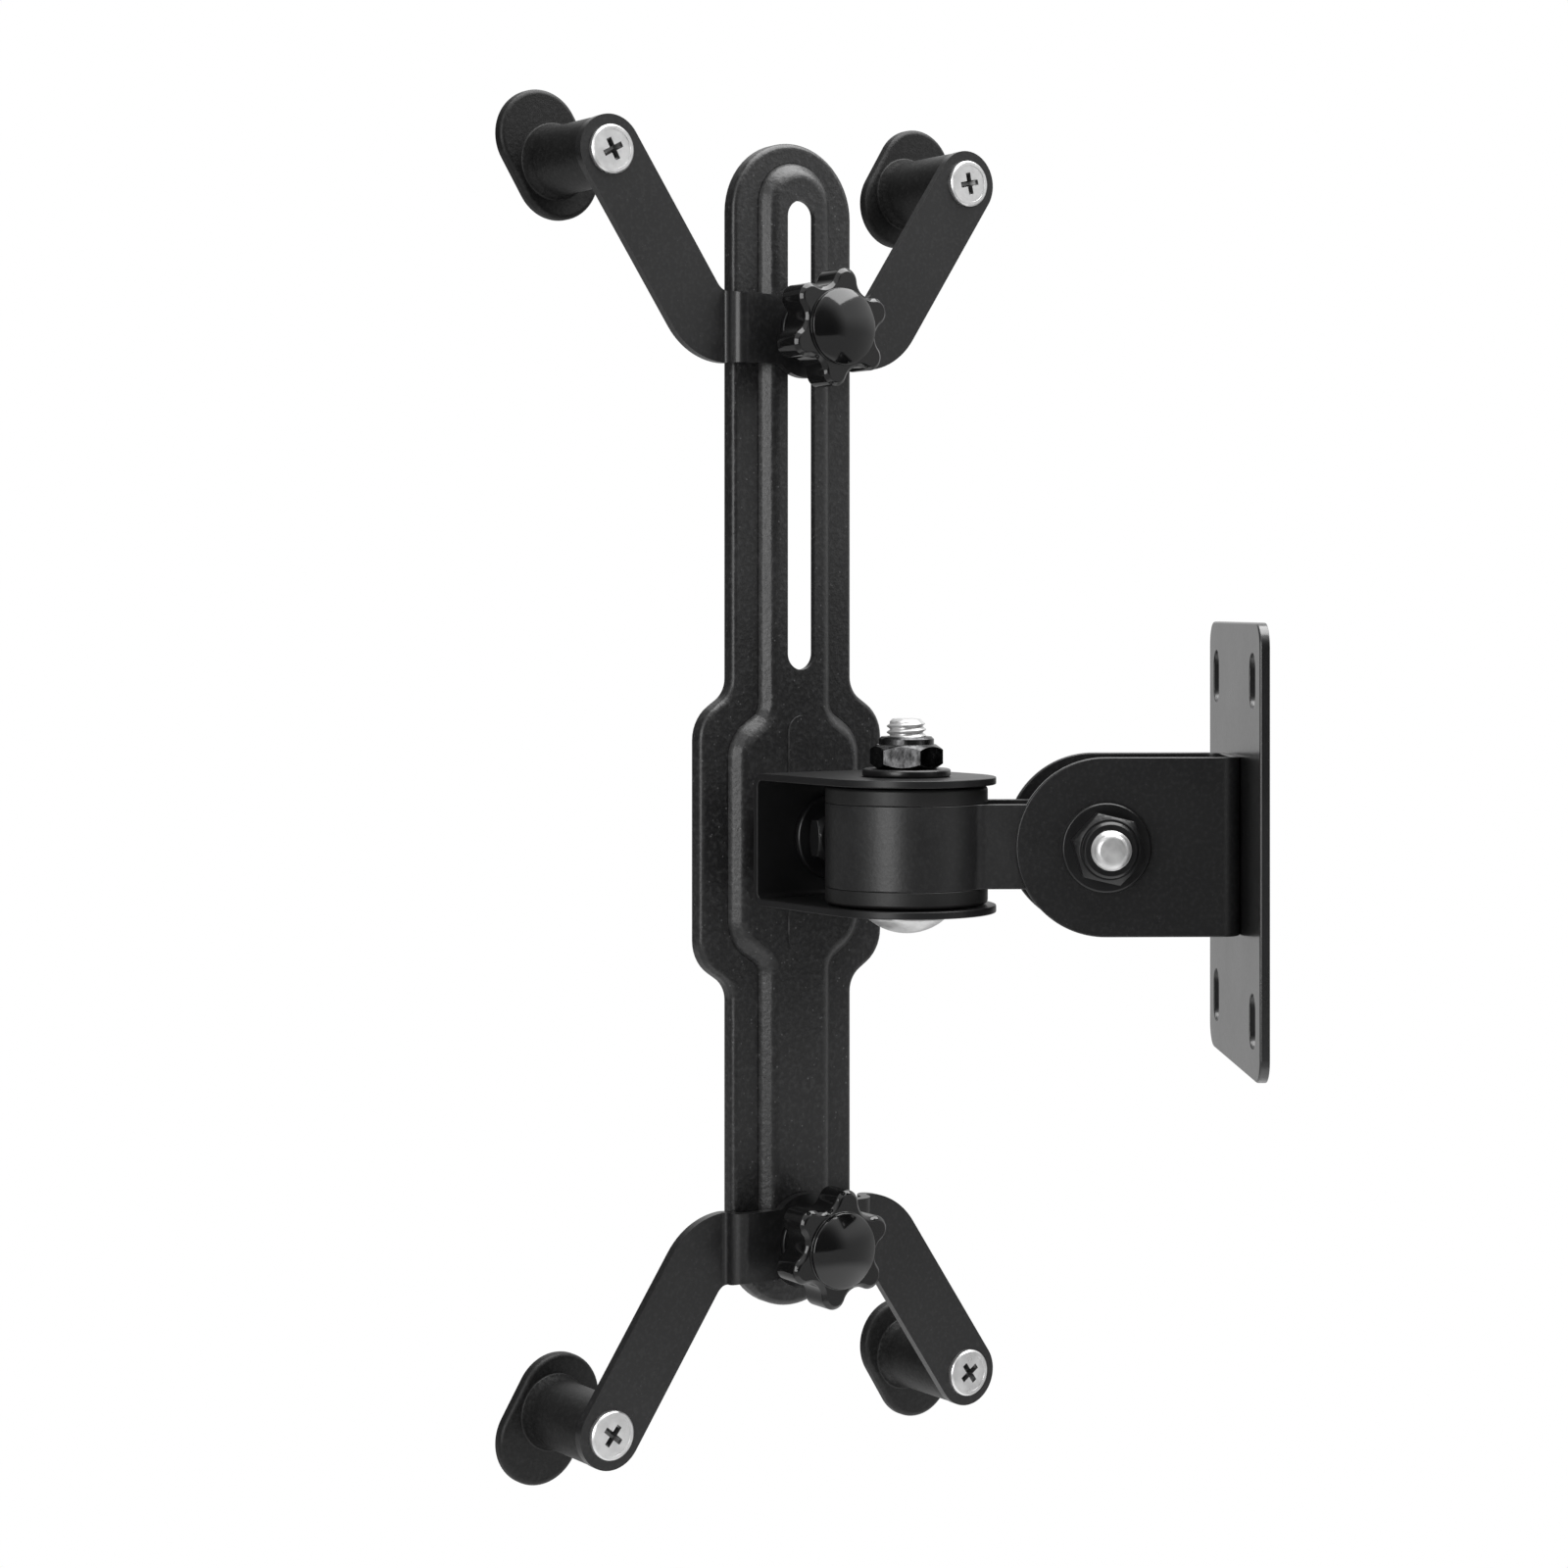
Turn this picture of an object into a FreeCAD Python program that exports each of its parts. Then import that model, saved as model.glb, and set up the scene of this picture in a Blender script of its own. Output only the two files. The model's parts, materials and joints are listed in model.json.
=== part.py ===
import FreeCAD, Part
import os
import math

# Wall mount for a flat device: a wall plate with a clevis, a tilting strap link, a swivel
# bracket, and a pressed steel spine with two arms that carry gripping hooks.
# Millimetres. The wall is the plane y = 0 and lies on the +Y side, +Z is up.
# The holder is drawn square to the wall about its swivel axis and then turned to rest.

Vec = FreeCAD.Vector
EX, EY, EZ = Vec(1, 0, 0), Vec(0, 1, 0), Vec(0, 0, 1)

# Rest pose
swivel_rest_deg = -56.7        # holder turned towards +X, seen from above

# Clearances
run_gap = 0.3                  # between flat faces of pieces that move
shaft_gap = 0.1                # round a bolt that something turns on
bolt_gap = 0.25                # round a bolt that only passes through
seat_gap = 0.02                # round a boss that is pushed in
over = 1.0                     # how far a cutter runs past the faces it cuts
near = 0.01                    # slack when an edge is picked by its place

# Wall plate
plate_width = 60.0
plate_height = 90.0
plate_thick = 2.0
plate_corner = 5.0
plate_edge_break = 0.25
wall_slot_width = 6.5
wall_slot_length = 11.0
wall_slot_inset_x = 8.5         # slot centre from the plate's edge
wall_slot_inset_z = 11.5

# Clevis on the wall plate
clevis_thick = 1.5
clevis_inner = 18.8            # between the ears
clevis_height = 36.0
clevis_bend = 2.5              # inner bend radius
pivot_reach = 27.5             # tilt axis in front of the wall plate

# M8 bolts of the three pivots
bolt_r = 4.0
nut_flats = 13.0
nut_height = 6.5
washer_r = 9.0
washer_thick = 1.6
washer_edge_share = 0.2        # edge break as a share of the thickness
nut_chamfer_deg = 35.0
nut_chamfer_inset = 0.5
nut_collar_r = 5.6             # rolled collar of a lock nut
nut_collar_height = 1.6
nut_collar_lip = 0.5
swivel_nut_turn = -15.0
tilt_nut_turn = 17.0
head_r = 8.0
head_height = 4.4
head_rim_share = 0.3           # straight rim as a share of the head's height
tip_share = 0.3                # bolt end chamfer as a share of its radius
bolt_end = 2.6                 # thread that stands out of a nut
swivel_bolt_end = 3.6

# Strap link
strap_thick = 1.5
strap_height = 17.0
strap_outer = 18.0             # over the two legs
strap_bend = 3.0               # outer radius where legs leave the loop
loop_r = 16.5                  # outside of the loop
link_length = 39.2             # swivel axis to tilt axis
spacer_tube_r = 6.6

# Bushes in the loop
bush_flange_height = 3.4
bush_chamfer = 0.5

# Swivel bracket
bracket_thick = 1.5
bracket_half_width = 18.2
bracket_reach = 27.0           # inside of the base from the swivel axis
bracket_bend = 1.2

# Spin joint
spin_spacer_r = 12.5
spin_spacer_length = 8.2
spin_nut_height = 4.0
spin_bolt_end = 0.8
low_head_height = 2.8

# Spine
spine_thick = 1.5
spine_half = 15.5              # outside of the rim on the straight runs
spine_half_wide = 23.7         # outside of the rim round the spin joint
spine_top = 147.0
spine_bottom = -101.0
rim_depth = 3.3                # rim behind the flange face
rim_round = 1.3
raise_height = 3.0             # raised middle above the flange
raise_half = 9.2
raise_half_wide = 16.9
raise_slope = 2.5              # run and rise of its sloped wall
raise_inner_slope = 1.8        # the same wall on the back of the sheet
raise_top_shift = 2.1          # its top end stands this much nearer to the rim
shoulder_top = 26.5            # height of the middle of the shoulders
shoulder_bottom = -28.5
raise_shoulder_inset = 4.6
shoulder_hollow_r = 5.5
shoulder_round_r = 8.5
raise_hollow_r = 3.4
raise_round_r = 9.1
shoulder_slant = 2.4           # straight run between the two shoulder arcs
slot_width = 7.0
slot_top = 134.5
slot_bottom = 34.7
bead_half = 3.4
bead_height = 0.4
bead_top = 25.0
bead_bottom = -25.5
bead_sink = 0.3                # bead carried on into the sheet
raise_sink = 0.2               # raised middle carried on into the flange
recess_gap = 0.5               # round the spacer where the bead is interrupted

# Arms
arm_thick = 2.0
arm_width = 14.6
arm_span = 46.3                # screw axis from the middle
arm_rise = 35.2
arm_knee = 22.5                # where the band turns into the leg
arm_knee_outer_r = 16.3
arm_knee_inner_r = 5.0
hub_r = 10.0
upper_arm_z = 106.6
lower_arm_z = -86.3
step_depth = 4.3               # legs behind the hub
step_gap = 0.5                 # arm to the rim of the spine
step_bend = 1.1

# Hooks
post_r = 7.2
post_foot_r = 8.0
post_flare = 3.0               # height over which the post widens
foot_sink = 0.6                # post carried on into the foot
grip_depth = 20.5              # leg to foot, clear
foot_thick = 3.2
foot_end_r = 9.7
foot_reach_out = 6.3
foot_reach_in = 2.8
foot_angle = 58.0
foot_round = 1.1               # rim on the side of the grip
foot_edge_break = 0.7
hook_screw_head_r = 5.05
hook_screw_head_height = 1.1
hook_screw_r = 2.0
hook_screw_length = 14.0
hook_screw_edge = 0.35
hook_screw_tip = 0.6
hook_screw_turn = 20.0
recess_width = 0.9
recess_length = 4.8
recess_depth = 0.7

# Clamp bolts and knobs
stud_r = 3.0
stud_neck = 6.0
neck_short = 0.1               # neck ends below the raised face
stud_head_r = 5.4
stud_head_height = 2.6
clamp_washer_r = 7.0
clamp_washer_thick = 1.2
knob_collar_r = 6.8
knob_collar_height = 3.3
knob_body_height = 7.8
knob_lobe_centre = 9.6
knob_lobe_r = 2.9
knob_lobes = 6
knob_phase = 38.0
knob_hollow_r = 3.6
knob_edge_break = 0.8
knob_dome_r = 8.0
knob_dome_height = 3.1
knob_dome_rim = 0.8            # straight wall under the dome
stud_in_knob = 8.6
bore_spare = 0.5               # bore past the end of the stud
lower_knob_turn = 2.0

# Places worked out from the sizes
pivot_y = -(plate_thick + pivot_reach)
swivel_y = pivot_y - link_length
ear_outer = clevis_inner / 2 + clevis_thick
bush_top = strap_height / 2 + bush_flange_height
flange_in = bush_top + run_gap
flange_out = flange_in + bracket_thick
base_in = -bracket_reach
base_out = base_in - bracket_thick
spine_face = base_out - spin_spacer_length - run_gap
flange_face = spine_face - raise_height
rim_back = flange_face - rim_depth
hub_back = spine_face + run_gap
hub_face = hub_back + arm_thick
leg_face = hub_face - step_depth
leg_back = leg_face - arm_thick
foot_face = leg_back - grip_depth
knob_back = hub_face + clamp_washer_thick + run_gap
nut_corner_r = nut_flats / math.sqrt(3)


def export(name, shape):
    shape.exportStep("parts/" + name + ".step")


def cylinder(radius, start, end, axis):
    # a round bar between two stations along an axis through the origin
    return Part.makeCylinder(radius, end - start, axis * start, axis)


def line(a, b):
    return Part.makeLine(Vec(*a), Vec(*b))


def arc(a, middle, b):
    return Part.Arc(Vec(*a), Vec(*middle), Vec(*b)).toShape()


def face_of(edges):
    return Part.Face(Part.Wire(Part.__sortEdges__(edges)))


def runs_along(edge, axis):
    # True for an edge that starts off parallel to an axis
    return edge.tangentAt(0).cross(axis).Length < near


def revolve_bar(points, axis, crown=None):
    # turned piece: points are (radius, station) of the half section, and with a crown a
    # spherical cap joins that station on the axis to the first point
    side = EX if abs(axis.x) < 0.5 else EY
    corners = [side * r + axis * s for r, s in points]
    if crown is None:
        return Part.Face(Part.makePolygon(corners + [corners[0]])).revolve(Vec(0, 0, 0), axis, 360)
    radius, station = points[0]
    rise = abs(crown - station)
    sphere_r = (radius ** 2 + rise ** 2) / (2 * rise)
    half_angle = math.asin(radius / sphere_r) / 2
    sag = sphere_r * (1 - math.cos(half_angle)) * (1 if station > crown else -1)
    middle = side * (sphere_r * math.sin(half_angle)) + axis * (crown + sag)
    top = axis * crown
    edges = [Part.Arc(top, middle, corners[0]).toShape()]
    edges += [Part.makeLine(a, b) for a, b in zip(corners, corners[1:])]
    edges.append(Part.makeLine(corners[-1], top))
    return Part.Face(Part.Wire(edges)).revolve(Vec(0, 0, 0), axis, 360)


def stadium(radius, start, end, depth):
    # upright round-ended bar along Y, from y = 0 to -depth, centres at two heights
    edges = [
        line((radius, 0, start), (radius, 0, end)),
        arc((radius, 0, end), (0, 0, end + radius), (-radius, 0, end)),
        line((-radius, 0, end), (-radius, 0, start)),
        arc((-radius, 0, start), (0, 0, start - radius), (radius, 0, start)),
    ]
    return face_of(edges).extrude(Vec(0, -depth, 0))


def hex_nut(height, axis, collar=0):
    # nut on an axis through the origin, from station 0, chamfered, with the collar of a lock nut if asked
    side = EX if abs(axis.x) < 0.5 else EY
    other = axis.cross(side)
    corners = []
    for k in range(7):
        angle = math.radians(30 + 60 * k)
        corners.append(side * (nut_corner_r * math.cos(angle)) + other * (nut_corner_r * math.sin(angle)))
    top = height - collar
    prism = Part.Face(Part.makePolygon(corners)).extrude(axis * top)
    rim = nut_flats / 2 - nut_chamfer_inset
    drop = (nut_corner_r - rim) * math.tan(math.radians(nut_chamfer_deg))
    envelope = revolve_bar([(0, 0), (rim, 0), (nut_corner_r, drop), (nut_corner_r, top - drop),
                            (rim, top), (0, top)], axis)
    nut = prism.common(envelope)
    if collar:
        lip = nut_collar_r - nut_collar_lip
        nut = nut.fuse(revolve_bar([(0, top - over), (nut_collar_r, top - over),
                                    (nut_collar_r, height - nut_collar_lip), (lip, height), (0, height)], axis))
    return nut.cut(cylinder(bolt_r, -over, height + over, axis))


def washer(outer, inner, thick, axis):
    edge = thick * washer_edge_share
    return revolve_bar([(inner, 0), (outer - edge, 0), (outer, edge), (outer, thick - edge),
                        (outer - edge, thick), (inner, thick)], axis)


def domed_bolt(shank, length, radius, height, axis):
    # head below station 0 with a domed top, shank from 0 to length with a pointed end
    tip = shank * tip_share
    return revolve_bar([(radius, -height * head_rim_share), (radius, 0), (shank, 0), (shank, length - tip),
                        (shank - tip, length), (0, length)], axis, -height)


def placed_wall(shape, x, y, z):
    moved = shape.copy()
    moved.translate(Vec(x, y, z))
    return moved


def placed_holder(shape):
    # from the swivel axis at the origin, square to the wall, to the rest pose
    moved = shape.copy()
    moved.rotate(Vec(0, 0, 0), EZ, swivel_rest_deg)
    moved.translate(Vec(0, swivel_y, 0))
    return moved


# Wall side

def wall_plate():
    plate = Part.makeBox(plate_width, plate_thick, plate_height,
                         Vec(-plate_width / 2, -plate_thick, -plate_height / 2))
    corners = [e for e in plate.Edges if runs_along(e, EY)]
    plate = plate.makeFillet(plate_corner, corners)
    half = (wall_slot_length - wall_slot_width) / 2
    for side in (-1, 1):
        for level in (-1, 1):
            centre = level * (plate_height / 2 - wall_slot_inset_z)
            hole = stadium(wall_slot_width / 2, centre - half, centre + half, plate_thick + 2 * over)
            plate = plate.cut(placed_wall(hole, side * (plate_width / 2 - wall_slot_inset_x), over, 0))
    front = [e for e in plate.Edges if e.BoundBox.YMax < -plate_thick + near
             and e.Length > plate_width / 2]
    return plate.makeChamfer(plate_edge_break, front)


def wall_clevis():
    # folded U: two round-ended ears and the web that is welded to the plate
    half = ear_outer
    inner = clevis_inner / 2
    outer_bend = clevis_bend + clevis_thick
    web_front = -plate_thick - clevis_thick
    ear_end = pivot_y - clevis_height / 2
    outer = Part.makeBox(2 * half, -plate_thick - ear_end, clevis_height,
                         Vec(-half, ear_end, -clevis_height / 2))
    bends = [e for e in outer.Edges
             if runs_along(e, EZ) and e.BoundBox.YMax > -plate_thick - near]
    outer = outer.makeFillet(outer_bend, bends)
    hollow = Part.makeBox(2 * inner, web_front - ear_end + over, clevis_height + 2 * over,
                          Vec(-inner, ear_end - over, -clevis_height / 2 - over))
    folds = [e for e in hollow.Edges
             if runs_along(e, EZ) and e.BoundBox.YMax > web_front - near]
    channel = outer.cut(hollow.makeFillet(clevis_bend, folds))
    edges = [
        line((0, 0, -clevis_height / 2), (0, pivot_reach, -clevis_height / 2)),
        line((0, pivot_reach, -clevis_height / 2), (0, pivot_reach, clevis_height / 2)),
        line((0, pivot_reach, clevis_height / 2), (0, 0, clevis_height / 2)),
        arc((0, 0, clevis_height / 2), (0, -clevis_height / 2, 0), (0, 0, -clevis_height / 2)),
    ]
    shape = face_of(edges).extrude(Vec(4 * half, 0, 0))
    channel = channel.common(placed_wall(shape, -2 * half, pivot_y, 0))
    hole = cylinder(bolt_r + bolt_gap, -2 * half, 2 * half, EX)
    return channel.cut(placed_wall(hole, 0, pivot_y, 0))


def build_wall_side():
    export("wall_plate", wall_plate())
    export("wall_clevis", wall_clevis())
    ring = washer(washer_r, bolt_r + bolt_gap, washer_thick, EX)
    export("tilt_washer_nut_side", placed_wall(ring, ear_outer, pivot_y, 0))
    export("tilt_washer_head_side", placed_wall(ring, -ear_outer - washer_thick, pivot_y, 0))
    head_seat = ear_outer + washer_thick
    length = 2 * head_seat + nut_height + bolt_end
    bolt = domed_bolt(bolt_r, length, head_r, head_height, EX)
    export("tilt_bolt", placed_wall(bolt, -head_seat, pivot_y, 0))
    nut = hex_nut(nut_height, EX, nut_collar_height)
    nut.rotate(Vec(0, 0, 0), EX, tilt_nut_turn)
    export("tilt_nut", placed_wall(nut, head_seat, pivot_y, 0))


# Link between the wall clevis and the swivel bracket

def strap_half_path(side, offset, end_y):
    # one side of the strap wall in plan: loop arc, neck arc and leg, moved out by offset
    mean_loop = loop_r - strap_thick / 2
    mean_leg = strap_outer / 2 - strap_thick / 2
    neck = strap_bend + strap_thick / 2
    cx = mean_leg + neck
    cy = math.sqrt((mean_loop + neck) ** 2 - cx ** 2)
    radius = mean_loop + offset
    turn = math.atan2(cx, cy)
    start = (0, -radius, 0)
    middle_angle = (math.pi + turn) / 2
    middle = (side * radius * math.sin(middle_angle), radius * math.cos(middle_angle), 0)
    join = (side * radius * math.sin(turn), radius * math.cos(turn), 0)
    small = neck - offset
    lean = math.atan2(cy, cx) / 2
    bow = (side * (cx - small * math.cos(lean)), cy - small * math.sin(lean), 0)
    leave = (side * (cx - small), cy, 0)
    end = (leave[0], end_y, 0)
    return [arc(start, middle, join), arc(join, bow, leave), line(leave, end)]


def link_strap():
    end_y = link_length + strap_height / 2
    half = strap_thick / 2
    edges = []
    for side in (-1, 1):
        edges += strap_half_path(side, half, end_y)
        edges += strap_half_path(side, -half, end_y)
        inner_x = side * (strap_outer / 2 - strap_thick)
        outer_x = side * strap_outer / 2
        edges.append(line((inner_x, end_y, 0), (outer_x, end_y, 0)))
    wire = Part.Wire(Part.__sortEdges__(edges))
    strap = Part.Face(wire).extrude(Vec(0, 0, strap_height))
    strap.translate(Vec(0, 0, -strap_height / 2))
    radius = strap_height / 2
    back = -loop_r - over
    edges = [
        line((0, back, -radius), (0, link_length, -radius)),
        arc((0, link_length, -radius), (0, end_y, 0), (0, link_length, radius)),
        line((0, link_length, radius), (0, back, radius)),
        line((0, back, radius), (0, back, -radius)),
    ]
    rounded = face_of(edges).extrude(Vec(2 * strap_height + 2 * over, 0, 0))
    rounded.translate(Vec(-strap_height - over, 0, 0))
    hole = cylinder(bolt_r + shaft_gap, -strap_outer, strap_outer, EX)
    return strap.common(rounded).cut(placed_wall(hole, 0, link_length, 0))


def bush():
    # flanged bush: flange on the strap edge, boss inside the loop down to mid height
    inner_r = loop_r - strap_thick - seat_gap
    low = seat_gap
    seat = strap_height / 2
    return revolve_bar([(bolt_r + shaft_gap, low), (inner_r, low), (inner_r, seat), (loop_r, seat),
                        (loop_r, bush_top - bush_chamfer), (loop_r - bush_chamfer, bush_top),
                        (bolt_r + shaft_gap, bush_top)], EZ)


def build_link():
    export("link_strap", placed_wall(link_strap(), 0, swivel_y, 0))
    upper = bush()
    lower = upper.mirror(Vec(0, 0, 0), EZ)
    export("bush_upper", placed_wall(upper, 0, swivel_y, 0))
    export("bush_lower", placed_wall(lower, 0, swivel_y, 0))
    half = strap_outer / 2 - strap_thick
    bore = cylinder(bolt_r + shaft_gap, -half - over, half + over, EX)
    tube = cylinder(spacer_tube_r, -half, half, EX).cut(bore)
    export("tilt_spacer_tube", placed_wall(tube, 0, pivot_y, 0))


# Swivel bracket, with the spin joint's spacer

def swivel_bracket():
    half = bracket_half_width
    height = 2 * flange_out
    outer = Part.makeBox(2 * half, -base_out + half, height, Vec(-half, base_out, -flange_out))
    bends = [e for e in outer.Edges
             if runs_along(e, EX) and e.BoundBox.YMin < base_out + near]
    outer = outer.makeFillet(bracket_bend + bracket_thick, bends)
    hollow = Part.makeBox(2 * half + 2 * over, bracket_reach + half + over, 2 * flange_in,
                          Vec(-half - over, base_in, -flange_in))
    folds = [e for e in hollow.Edges
             if runs_along(e, EX) and e.BoundBox.YMin < base_in + near]
    channel = outer.cut(hollow.makeFillet(bracket_bend, folds))
    edges = [
        line((-half, base_out - over, 0), (half, base_out - over, 0)),
        line((half, base_out - over, 0), (half, 0, 0)),
        arc((half, 0, 0), (0, half, 0), (-half, 0, 0)),
        line((-half, 0, 0), (-half, base_out - over, 0)),
    ]
    plan = face_of(edges).extrude(Vec(0, 0, height))
    plan.translate(Vec(0, 0, -flange_out))
    channel = channel.common(plan)
    channel = channel.cut(cylinder(bolt_r + bolt_gap, -height, height, EZ))
    return channel.cut(cylinder(bolt_r + shaft_gap, base_out - over, base_in + over, EY))


def build_swivel():
    export("swivel_bracket", placed_holder(swivel_bracket()))
    ring = washer(washer_r, bolt_r + bolt_gap, washer_thick, EZ)
    export("swivel_washer", placed_holder(placed_wall(ring, 0, 0, flange_out)))
    nut_seat = flange_out + washer_thick
    nut = hex_nut(nut_height, EZ, nut_collar_height)
    nut.rotate(Vec(0, 0, 0), EZ, swivel_nut_turn)
    export("swivel_nut", placed_holder(placed_wall(nut, 0, 0, nut_seat)))
    length = flange_out + nut_seat + nut_height + swivel_bolt_end
    bolt = domed_bolt(bolt_r, length, head_r, head_height, EZ)
    export("swivel_bolt", placed_holder(placed_wall(bolt, 0, 0, -flange_out)))
    spacer_end = base_out - spin_spacer_length
    disc = cylinder(spin_spacer_r, spacer_end, base_out, EY)
    disc = disc.cut(cylinder(bolt_r + shaft_gap, spacer_end - over, base_out + over, EY))
    export("spin_spacer", placed_holder(disc))


# Spine

def spine_outline(narrow, wide, hollow_r, round_r, inset, top_shift, grow, y):
    # closed wire at one depth: round ends, straight runs and S-shaped shoulders, all grown alike
    end_r = narrow + grow
    top_centre = spine_top - spine_half + top_shift
    bottom_centre = spine_bottom + spine_half
    x_hollow = narrow + hollow_r
    x_round = wide - round_r
    reach = math.hypot(hollow_r + round_r, shoulder_slant)
    run = math.sqrt(reach ** 2 - (x_hollow - x_round) ** 2)
    r_hollow = hollow_r - grow
    r_round = round_r + grow
    points = []
    for level, middle in ((1, shoulder_top - inset), (-1, shoulder_bottom + inset)):
        z_hollow = middle + level * run / 2
        z_round = middle - level * run / 2
        # the common tangent of the two arcs leans by this angle from the line of centres
        along = math.atan2(z_hollow - z_round, x_hollow - x_round)
        lean = level * math.acos((hollow_r + round_r) / reach)
        normal = along - lean
        t_round = (x_round + r_round * math.cos(normal), z_round + r_round * math.sin(normal))
        t_hollow = (x_hollow - r_hollow * math.cos(normal), z_hollow - r_hollow * math.sin(normal))
        m_round = (x_round + r_round * math.cos(normal / 2), z_round + r_round * math.sin(normal / 2))
        back = math.pi + normal / 2
        m_hollow = (x_hollow + r_hollow * math.cos(back), z_hollow + r_hollow * math.sin(back))
        points.append(((narrow + grow, z_hollow), m_hollow, t_hollow, t_round, m_round, (wide + grow, z_round)))
    upper, lower = points
    stops = [(end_r, top_centre)] + list(upper) + list(reversed(lower)) + [(end_r, bottom_centre)]

    def side_run(side, stations):
        # straight, arc, straight, arc, straight, arc, straight, arc, straight down one side
        at = [Vec(side * x, y, z) for x, z in stations]
        return [
            Part.makeLine(at[0], at[1]), Part.Arc(at[1], at[2], at[3]).toShape(),
            Part.makeLine(at[3], at[4]), Part.Arc(at[4], at[5], at[6]).toShape(),
            Part.makeLine(at[6], at[7]), Part.Arc(at[7], at[8], at[9]).toShape(),
            Part.makeLine(at[9], at[10]), Part.Arc(at[10], at[11], at[12]).toShape(),
            Part.makeLine(at[12], at[13]),
        ]
    edges = side_run(1, stops)
    edges.append(arc((end_r, y, bottom_centre), (0, y, bottom_centre - end_r), (-end_r, y, bottom_centre)))
    edges += side_run(-1, list(reversed(stops)))
    edges.append(arc((-end_r, y, top_centre), (0, y, top_centre + end_r), (end_r, y, top_centre)))
    return Part.Wire(edges)


def rim_wire(grow, y):
    return spine_outline(spine_half, spine_half_wide, shoulder_hollow_r, shoulder_round_r, 0, 0, grow, y)


def raise_wire(grow, y):
    return spine_outline(raise_half, raise_half_wide, raise_hollow_r, raise_round_r,
                         raise_shoulder_inset, raise_top_shift, grow, y)


def raised_middle(grow, y, height, slope):
    # raised outline with a sloped front edge, from one depth towards the wall
    body = Part.Face(raise_wire(grow, y)).extrude(Vec(0, height, 0))
    front = [e for e in body.Edges if e.BoundBox.YMin > y + height - near]
    return body.makeChamfer(slope, front)


def spine():
    # pressed steel pan: rim, flange and raised middle, one sheet thick
    body = Part.Face(rim_wire(0, flange_face)).extrude(Vec(0, -rim_depth, 0))
    edge = [e for e in body.Edges if e.BoundBox.YMin > flange_face - near]
    body = body.makeFillet(rim_round, edge)
    foot = flange_face - raise_sink
    body = body.fuse(raised_middle(0, foot, raise_height + raise_sink, raise_slope))
    inside = Part.Face(rim_wire(-spine_thick, rim_back - over))
    inside = inside.extrude(Vec(0, rim_depth + over - spine_thick, 0))
    hollow = raised_middle(-spine_thick, foot - spine_thick, raise_height + raise_sink, raise_inner_slope)
    body = body.cut(inside).cut(hollow)
    bead = stadium(bead_half, bead_bottom + bead_half, bead_top - bead_half, bead_height + bead_sink)
    body = body.fuse(placed_wall(bead, 0, spine_face + bead_height, 0))
    body = body.cut(cylinder(spin_spacer_r + recess_gap, spine_face, spine_face + over, EY))
    half = slot_width / 2
    through = spine_face + over - rim_back
    slot = stadium(half, slot_bottom + half, slot_top - half, through)
    body = body.cut(placed_wall(slot, 0, spine_face + over, 0))
    body = body.cut(cylinder(bolt_r, rim_back, spine_face + over, EY))
    square = stud_neck + 2 * bolt_gap
    neck_hole = Part.makeBox(square, through, square, Vec(-square / 2, rim_back, lower_arm_z - square / 2))
    return body.cut(neck_hole)


# Arms, hooks and knobs

def arm_plan(depth_from, depth_to):
    # flat outline of the arm seen from behind: band, two legs and the hub disc
    half = arm_width / 2
    length = math.hypot(arm_span - arm_knee, arm_rise)
    ux, uz = (arm_span - arm_knee) / length, arm_rise / length
    # both outlines meet the knee's bisector
    spread = half * (1 - ux) / uz
    top_x = arm_knee - spread
    low_x = arm_knee + spread
    edges = []
    for side in (1, -1):
        def p(x, z):
            return (side * x, depth_from, z)
        edges.append(line(p(0, half), p(top_x, half)))
        edges.append(line(p(top_x, half), p(arm_span - uz * half, arm_rise + ux * half)))
        edges.append(arc(p(arm_span - uz * half, arm_rise + ux * half),
                         p(arm_span + ux * half, arm_rise + uz * half),
                         p(arm_span + uz * half, arm_rise - ux * half)))
        edges.append(line(p(arm_span + uz * half, arm_rise - ux * half), p(low_x, -half)))
        edges.append(line(p(low_x, -half), p(0, -half)))
    plan = face_of(edges).extrude(Vec(0, depth_to - depth_from, 0))
    knees = [e for e in plan.Edges
             if runs_along(e, EY) and abs(e.BoundBox.ZMin + half) < near
             and abs(e.BoundBox.XMin) > half]
    plan = plan.makeFillet(arm_knee_outer_r, knees)
    inner = [e for e in plan.Edges
             if runs_along(e, EY) and abs(e.BoundBox.ZMin - half) < near
             and half < abs(e.BoundBox.XMin) < arm_knee]
    return plan.makeFillet(arm_knee_inner_r, inner)


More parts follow.
